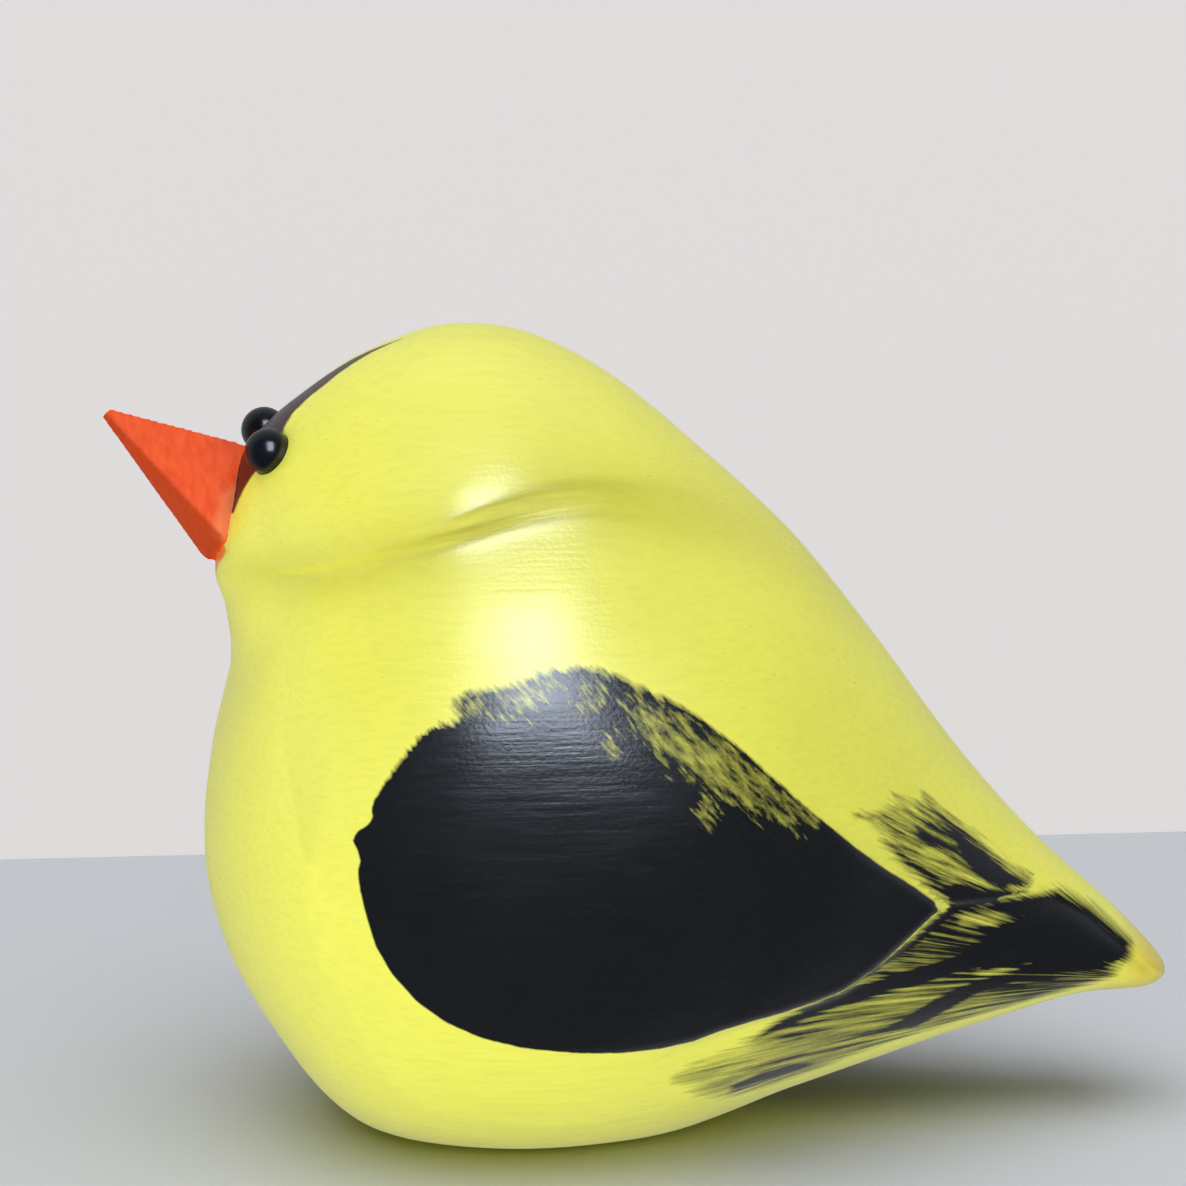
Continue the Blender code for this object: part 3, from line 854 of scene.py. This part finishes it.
def brushed_acrylic():
    """Satin acrylic brushed on soft wood: streaks of thin paint, blade marks under it, painted
    shade in the neck's crease.
    """
    material, tree, shader = new_material("brushed_acrylic_on_soft_wood")
    add = partial(add_node, tree)
    scale_and_add = {"operation": "MULTIPLY_ADD"}
    place = add("TexCoord", {}).outputs["Object"]
    kept = {
        name: add("Attribute", {}, attribute_name=name).outputs["Fac"]
        for name in ("black_edge", "black_softness", "black_dryness", "black_contrast",
                     "black_see_through", "cap_edge", "beak_edge", "gouged", "painted_crease_shade",
                     "along")
    }
    marks = add("Attribute", {}, attribute_name="brush_marks").outputs["Vector"]
    gouge_marks = add("Attribute", {}, attribute_name="gouge_marks").outputs["Vector"]

    # Marks of the wide brush, 9 mm long and half a millimetre apart, and slow changes
    across_mm = add("Mapping", {"Vector": place, "Scale": (110.0, 1200.0, 2000.0)})
    streak = add("TexNoise", {"Vector": across_mm, "Scale": 1.0, "Detail": 4.0})
    slow = add("TexNoise", {"Vector": place, "Scale": 80.0, "Detail": 2.0})
    wobble = add("TexNoise", {"Vector": place, "Scale": 700.0, "Detail": 3.0})
    wobble = add("Math", {0: wobble, 1: 0.5}, operation="SUBTRACT")

    # Yellow, two coats: mottled, streaked along the brush, with olive painted shade in and round
    # the crease
    blend = {"data_type": "RGBA"}
    colour = add("Mix", {"Factor": slow, "A": linear("E4E35C"), "B": linear("DCDC54")}, **blend)
    thin = add("MapRange", {"Value": streak, "From Min": 0.45, "From Max": 0.8, "To Max": 0.4})
    colour = add("Mix", {"Factor": thin, "A": colour, "B": linear("CCCB45")}, **blend)
    # Painted shade: olive in the gouge's cut, streaked along its marks, and on and round the cut's
    # edges
    gouge = add("TexNoise", {"Vector": gouge_marks, "Scale": 1.0, "Detail": 3.0})
    thin = add("MapRange", {
        "Value": gouge, "From Min": 0.35, "From Max": 0.65, "To Min": 0.25, "To Max": 0.8,
    })
    thin = add("Math", {0: thin, 1: kept["gouged"]}, operation="MULTIPLY")
    thin = add("Math", {0: kept["painted_crease_shade"], 1: 0.45, 2: thin}, **scale_and_add)
    colour = add("Mix", {"Factor": thin, "A": colour, "B": linear("A9A423")}, **blend)

    # Tail tip, darker and more mustard towards its end
    darker_tip = add("Math", {0: wobble, 1: 3.0, 2: kept["along"]}, **scale_and_add)
    darker_tip = add("MapRange", {"Value": darker_tip, "From Min": 92.0, "From Max": 96.0, "To Max": 0.65})
    colour = add("Mix", {"Factor": darker_tip, "A": colour, "B": linear("C3A93A")}, **blend)

    # Brown of cap and lores, with a soft wobbling edge
    cap = add("Math", {0: wobble, 1: 0.8, 2: kept["cap_edge"]}, **scale_and_add)
    cap = add("MapRange", {"Value": cap, "From Min": -0.2, "From Max": 0.2})
    colour = add("Mix", {"Factor": cap, "A": colour, "B": linear("2E1C17")}, **blend)

    # Orange of the beak, smudged a little way onto the head
    smudge = add("Math", {0: wobble, 1: 0.7, 2: kept["beak_edge"]}, **scale_and_add)
    smudge = add("MapRange", {"Value": smudge, "From Min": -0.45, "From Max": -0.15})
    colour = add("Mix", {"Factor": smudge, "A": colour, "B": linear("DE7A26")}, **blend)

    # Black: full where it was wet, streaked and torn where the brush ran dry
    bristle = add("TexNoise", {"Vector": marks, "Scale": 1.0, "Detail": 6.0, "Roughness": 0.65})
    bristle = add("Math", {0: bristle, 1: 0.5}, operation="SUBTRACT")
    edge = add("Math", {0: kept["black_edge"], 1: kept["black_softness"]}, operation="DIVIDE")
    edge = add("Math", {0: edge, 1: 1.0}, operation="MINIMUM")
    amount = add("Math", {0: edge, 1: kept["black_dryness"]}, operation="SUBTRACT")
    amount = add("Math", {0: bristle, 1: kept["black_contrast"], 2: amount}, **scale_and_add)
    least = add("Math", {0: kept["black_see_through"], 1: -1.0}, operation="MULTIPLY")
    amount = add("MapRange", {
        "Value": amount, "From Min": least, "From Max": kept["black_see_through"],
    })
    black = add("Mix", {"Factor": slow, "A": linear("0C0E11"), "B": linear("14171B")}, **blend)
    colour = add("Mix", {"Factor": amount, "A": colour, "B": black}, **blend)
    tree.links.new(colour.outputs[2], shader.inputs["Base Color"])

    # Satin: the brush leaves the gloss uneven, and black dries a little glossier
    shader.inputs["Specular IOR Level"].default_value = 0.7
    gloss = add("MapRange", {"Value": streak, "To Min": 0.22, "To Max": 0.4})
    gloss = add("Math", {0: amount, 1: -0.06, 2: gloss}, **scale_and_add)
    tree.links.new(gloss.outputs[0], shader.inputs["Roughness"])
    grain = add("TexNoise", {"Vector": place, "Scale": 2600.0, "Detail": 2.0})
    relief = add("Math", {0: gouge, 1: kept["gouged"]}, operation="MULTIPLY")
    relief = add("Math", {0: relief, 1: 4.0, 2: streak}, **scale_and_add)
    relief = add("Math", {0: grain, 1: 0.6, 2: relief}, **scale_and_add)
    relief = add("Math", {0: amount, 1: 0.3, 2: relief}, **scale_and_add)
    bump = add("Bump", {"Height": relief, "Strength": 0.24, "Distance": 0.00012})
    tree.links.new(bump.outputs[0], shader.inputs["Normal"])
    return material


def beak_acrylic():
    """Orange acrylic brushed across a cut beak, a redder coat showing in its streaks, with a
    painted highlight along its rear rim and painted shade with redder paint on its lower face.
    """
    material, tree, shader = new_material("orange_acrylic_on_cut_beak")
    add = partial(add_node, tree)
    place = add("TexCoord", {}).outputs["Object"]
    upright = add("Mapping", {"Vector": place, "Scale": (1500.0, 1500.0, 260.0)})
    streak = add("TexNoise", {"Vector": upright, "Scale": 1.0, "Detail": 4.0})
    share = add("MapRange", {"Value": streak, "From Min": 0.35, "From Max": 0.7})
    blend = {"data_type": "RGBA"}
    colour = add("Mix", {"Factor": share, "A": linear("E65000"), "B": linear("D84400")}, **blend)
    # Painted highlight along the rim where the beak rounds back into the face
    rim = add("Attribute", {}, attribute_name="beak_rim").outputs["Fac"]
    rim = add("MapRange", {"Value": rim, "From Min": 1.3, "From Max": 0.5, "To Max": 0.4})
    colour = add("Mix", {"Factor": rim, "A": colour, "B": linear("F2935A")}, **blend)
    # Lower face darker red: partly redder paint, partly painted shade where it faces down
    under = add("Attribute", {}, attribute_name="beak_under").outputs["Fac"]
    under = add("MapRange", {"Value": under, "From Min": 0.55, "From Max": 0.2, "To Max": 0.75})
    colour = add("Mix", {"Factor": under, "A": colour, "B": linear("A0330A")}, **blend)
    tree.links.new(colour.outputs[2], shader.inputs["Base Color"])
    shader.inputs["Specular IOR Level"].default_value = 0.12
    gloss = add("MapRange", {"Value": streak, "To Min": 0.4, "To Max": 0.6})
    tree.links.new(gloss.outputs[0], shader.inputs["Roughness"])
    bump = add("Bump", {"Height": streak, "Strength": 0.4, "Distance": 0.0001})
    tree.links.new(bump.outputs[0], shader.inputs["Normal"])
    return material


def bead_glass():
    """Polished black glass, a little dusty, so that it shows the lamp as a small soft spot."""
    material, tree, shader = new_material("polished_black_glass")
    add = partial(add_node, tree)
    place = add("TexCoord", {}).outputs["Object"]
    dust = add("TexNoise", {"Vector": place, "Scale": 1800.0, "Detail": 3.0})
    gloss = add("MapRange", {
        "Value": dust, "From Min": 0.4, "From Max": 0.8, "To Min": 0.18, "To Max": 0.3,
    })
    tree.links.new(gloss.outputs[0], shader.inputs["Roughness"])
    shader.inputs["Base Color"].default_value = linear("0A0C12")
    shader.inputs["IOR"].default_value = 1.52
    return material


def plain(name, hex_colour, roughness, glow):
    """A plain matt surface for the floor and the wall, which may shine a little itself."""
    material, _, shader = new_material(name)
    shader.inputs["Base Color"].default_value = linear(hex_colour)
    shader.inputs["Roughness"].default_value = roughness
    shader.inputs["Emission Color"].default_value = linear(hex_colour)
    shader.inputs["Emission Strength"].default_value = glow
    return material


def make_bird():
    """The painted body and its two bead eyes, each where the solid has it."""
    low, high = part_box("carved_body")
    body = carve_body()
    beak = carve_beak()
    for obj, material in ((body, brushed_acrylic()), (beak, beak_acrylic())):
        obj.data.materials.append(material)
    combine(body, beak, "UNION")

    # The solid's box says where the face is, and holds the finer form
    points = points_of(body)
    face_x = (low.x + high.x - points[:, 0].min() - points[:, 0].max()) / 2
    points[:, 0] += face_x
    set_points(body, points)
    soften_seam(body)

    eyes = []
    for node in ("left_eye", "right_eye"):
        eye_low, eye_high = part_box(node)
        centre = (eye_low + eye_high) / 2
        radius = (eye_high.x - eye_low.x) / 2
        seat = ball_at(centre, radius + EYE_SEAT_GAP)
        combine(body, seat, "DIFFERENCE")
        eye = bead_at(centre, radius)
        eye.name = node + "_bead"
        eye.data.materials.append(bead_glass())
        only(eye)
        bpy.ops.object.shade_smooth()
        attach(eye, "root")
        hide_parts(node)
        eyes.append(eye)

    set_points(body, np.clip(points_of(body), low, high))
    lay_out_paint(body, face_x)
    only(body)
    bpy.ops.object.shade_smooth_by_angle(angle=SMOOTH_ANGLE)
    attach(body, "root")
    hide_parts("carved_body")
    return [body, *eyes]


def area_light(
    name, azimuth, elevation, size, power, mirrored=False, lights=None, shadows=None,
    distance=LAMP_DISTANCE,
):
    """A soft lamp that faces the bird, placed by its direction from it in degrees.

    The one that is mirrored in the paint gives only that shine. The others give the light.
    One with a collection to light lights nothing else, and only its shadows' collection, or
    else the lit one, casts shadows in its light.
    """
    light = bpy.data.lights.new(name, "AREA")
    light.shape = "RECTANGLE"
    light.size, light.size_y = size
    light.energy = power
    light.color = linear("E0ECFF")[:3] if mirrored else (1.0, 1.0, 1.0)
    turn, rise = math.radians(azimuth), math.radians(elevation)
    towards = Vector((math.sin(turn), -math.cos(turn), math.tan(rise))).normalized()
    obj = bpy.data.objects.new(name, light)
    bpy.context.scene.collection.objects.link(obj)
    obj.location = LAMP_TARGET + towards * distance
    obj.rotation_euler = towards.to_track_quat("Z", "Y").to_euler()
    obj.visible_camera = False
    obj.visible_glossy = mirrored
    obj.visible_diffuse = not mirrored
    obj.light_linking.receiver_collection = lights
    obj.light_linking.blocker_collection = shadows or lights


def set_up_studio(pieces):
    """Pale table top and wall, a lamp like a window that gives the gloss, and soft lamps."""
    world = bpy.data.worlds.new("pale_room")
    bpy.context.scene.world = world
    world.use_nodes = True
    background = world.node_tree.nodes["Background"]
    background.inputs["Color"].default_value = linear("F2F4F8")
    tree = world.node_tree
    place = add_node(tree, "TexCoord", {}).outputs["Generated"]
    split = add_node(tree, "SeparateXYZ", {"Vector": place})
    paler = add_node(tree, "MapRange", {
        "Value": split.outputs["Y"], "From Min": -0.3, "From Max": 0.4,
        "To Min": 0.07, "To Max": 0.45,
    })
    tree.links.new(paler.outputs[0], background.inputs["Strength"])

    bpy.ops.object.select_all(action="DESELECT")
    bpy.ops.mesh.primitive_plane_add(
        size=1.0, location=(0.0, TABLE_FAR_EDGE - TABLE_SIZE[1] / 2, -TABLE_BELOW)
    )
    floor = bpy.context.object
    floor.scale = (*TABLE_SIZE, 1.0)
    floor.data.materials.append(plain("pale_table", "B2B5BA", 0.7, 0.0))
    bpy.ops.object.select_all(action="DESELECT")
    bpy.ops.mesh.primitive_cylinder_add(
        vertices=96, radius=WALL_RADIUS, depth=WALL_HEIGHT, end_fill_type="NOTHING",
        location=(0.0, 0.0, WALL_MIDDLE),
    )
    wall = bpy.context.object
    wall.data.materials.append(plain("pale_wall", "E8E4E4", 0.7, 0.82))
    for sheet, name in ((floor, "floor"), (wall, "wall")):
        only(sheet)
        bpy.ops.object.transform_apply(location=True, rotation=True, scale=True)
        sheet.name = name
        sheet.visible_glossy = False
    wall.visible_diffuse = False
    wall.visible_shadow = False
    world.cycles_visibility.diffuse = False

    # Gloss shows the window alone, as in a room that is dark towards the camera
    area_light("window", 8.0, 39.0, (0.3, 0.46), 4.5, mirrored=True)
    area_light("above", 0.0, 88.0, (0.9, 0.9), 4.0)

    # The table is lit apart from the bird, so that the bird's shadow on it stays deep
    bird = bpy.data.collections.new("bird")
    for piece in pieces:
        bird.objects.link(piece)
    table = bpy.data.collections.new("table")
    table.objects.link(floor)
    area_light(
        "table_lamp", -20.0, 72.0, (3.6, 3.6), 68.0, lights=table, shadows=bird, distance=2.4
    )
    area_light("low_front", 0.0, -5.0, (1.0, 0.3), 5.0, lights=bird)
    area_light("low_left", -85.0, 8.0, (0.7, 0.3), 1.7, lights=bird)
    area_light("behind", 160.0, 55.0, (0.9, 0.6), 2.8, lights=bird)


def set_up_camera():
    """The camera at the photograph's place."""
    cos_e, sin_e = math.cos(VIEW_ELEVATION), math.sin(VIEW_ELEVATION)
    back = Vector((math.sin(VIEW_AZIMUTH) * cos_e, -math.cos(VIEW_AZIMUTH) * cos_e, sin_e))
    right = Vector((math.cos(VIEW_AZIMUTH), math.sin(VIEW_AZIMUTH), 0.0))
    camera = bpy.data.cameras.new("camera")
    camera.sensor_fit = "HORIZONTAL"
    camera.sensor_width = SENSOR
    camera.lens = SENSOR * FOCAL_PIXELS / PICTURE
    camera.clip_start = 0.01
    camera.clip_end = 20.0
    obj = bpy.data.objects.new("camera", camera)
    bpy.context.scene.collection.objects.link(obj)
    turn = Matrix((right, back.cross(right), back)).transposed().to_4x4()
    obj.matrix_world = Matrix.Translation(VIEW_TARGET + back * VIEW_DISTANCE) @ turn
    bpy.context.scene.camera = obj


set_up_camera()
set_up_studio(make_bird())
bpy.context.scene.view_settings.view_transform = "Standard"
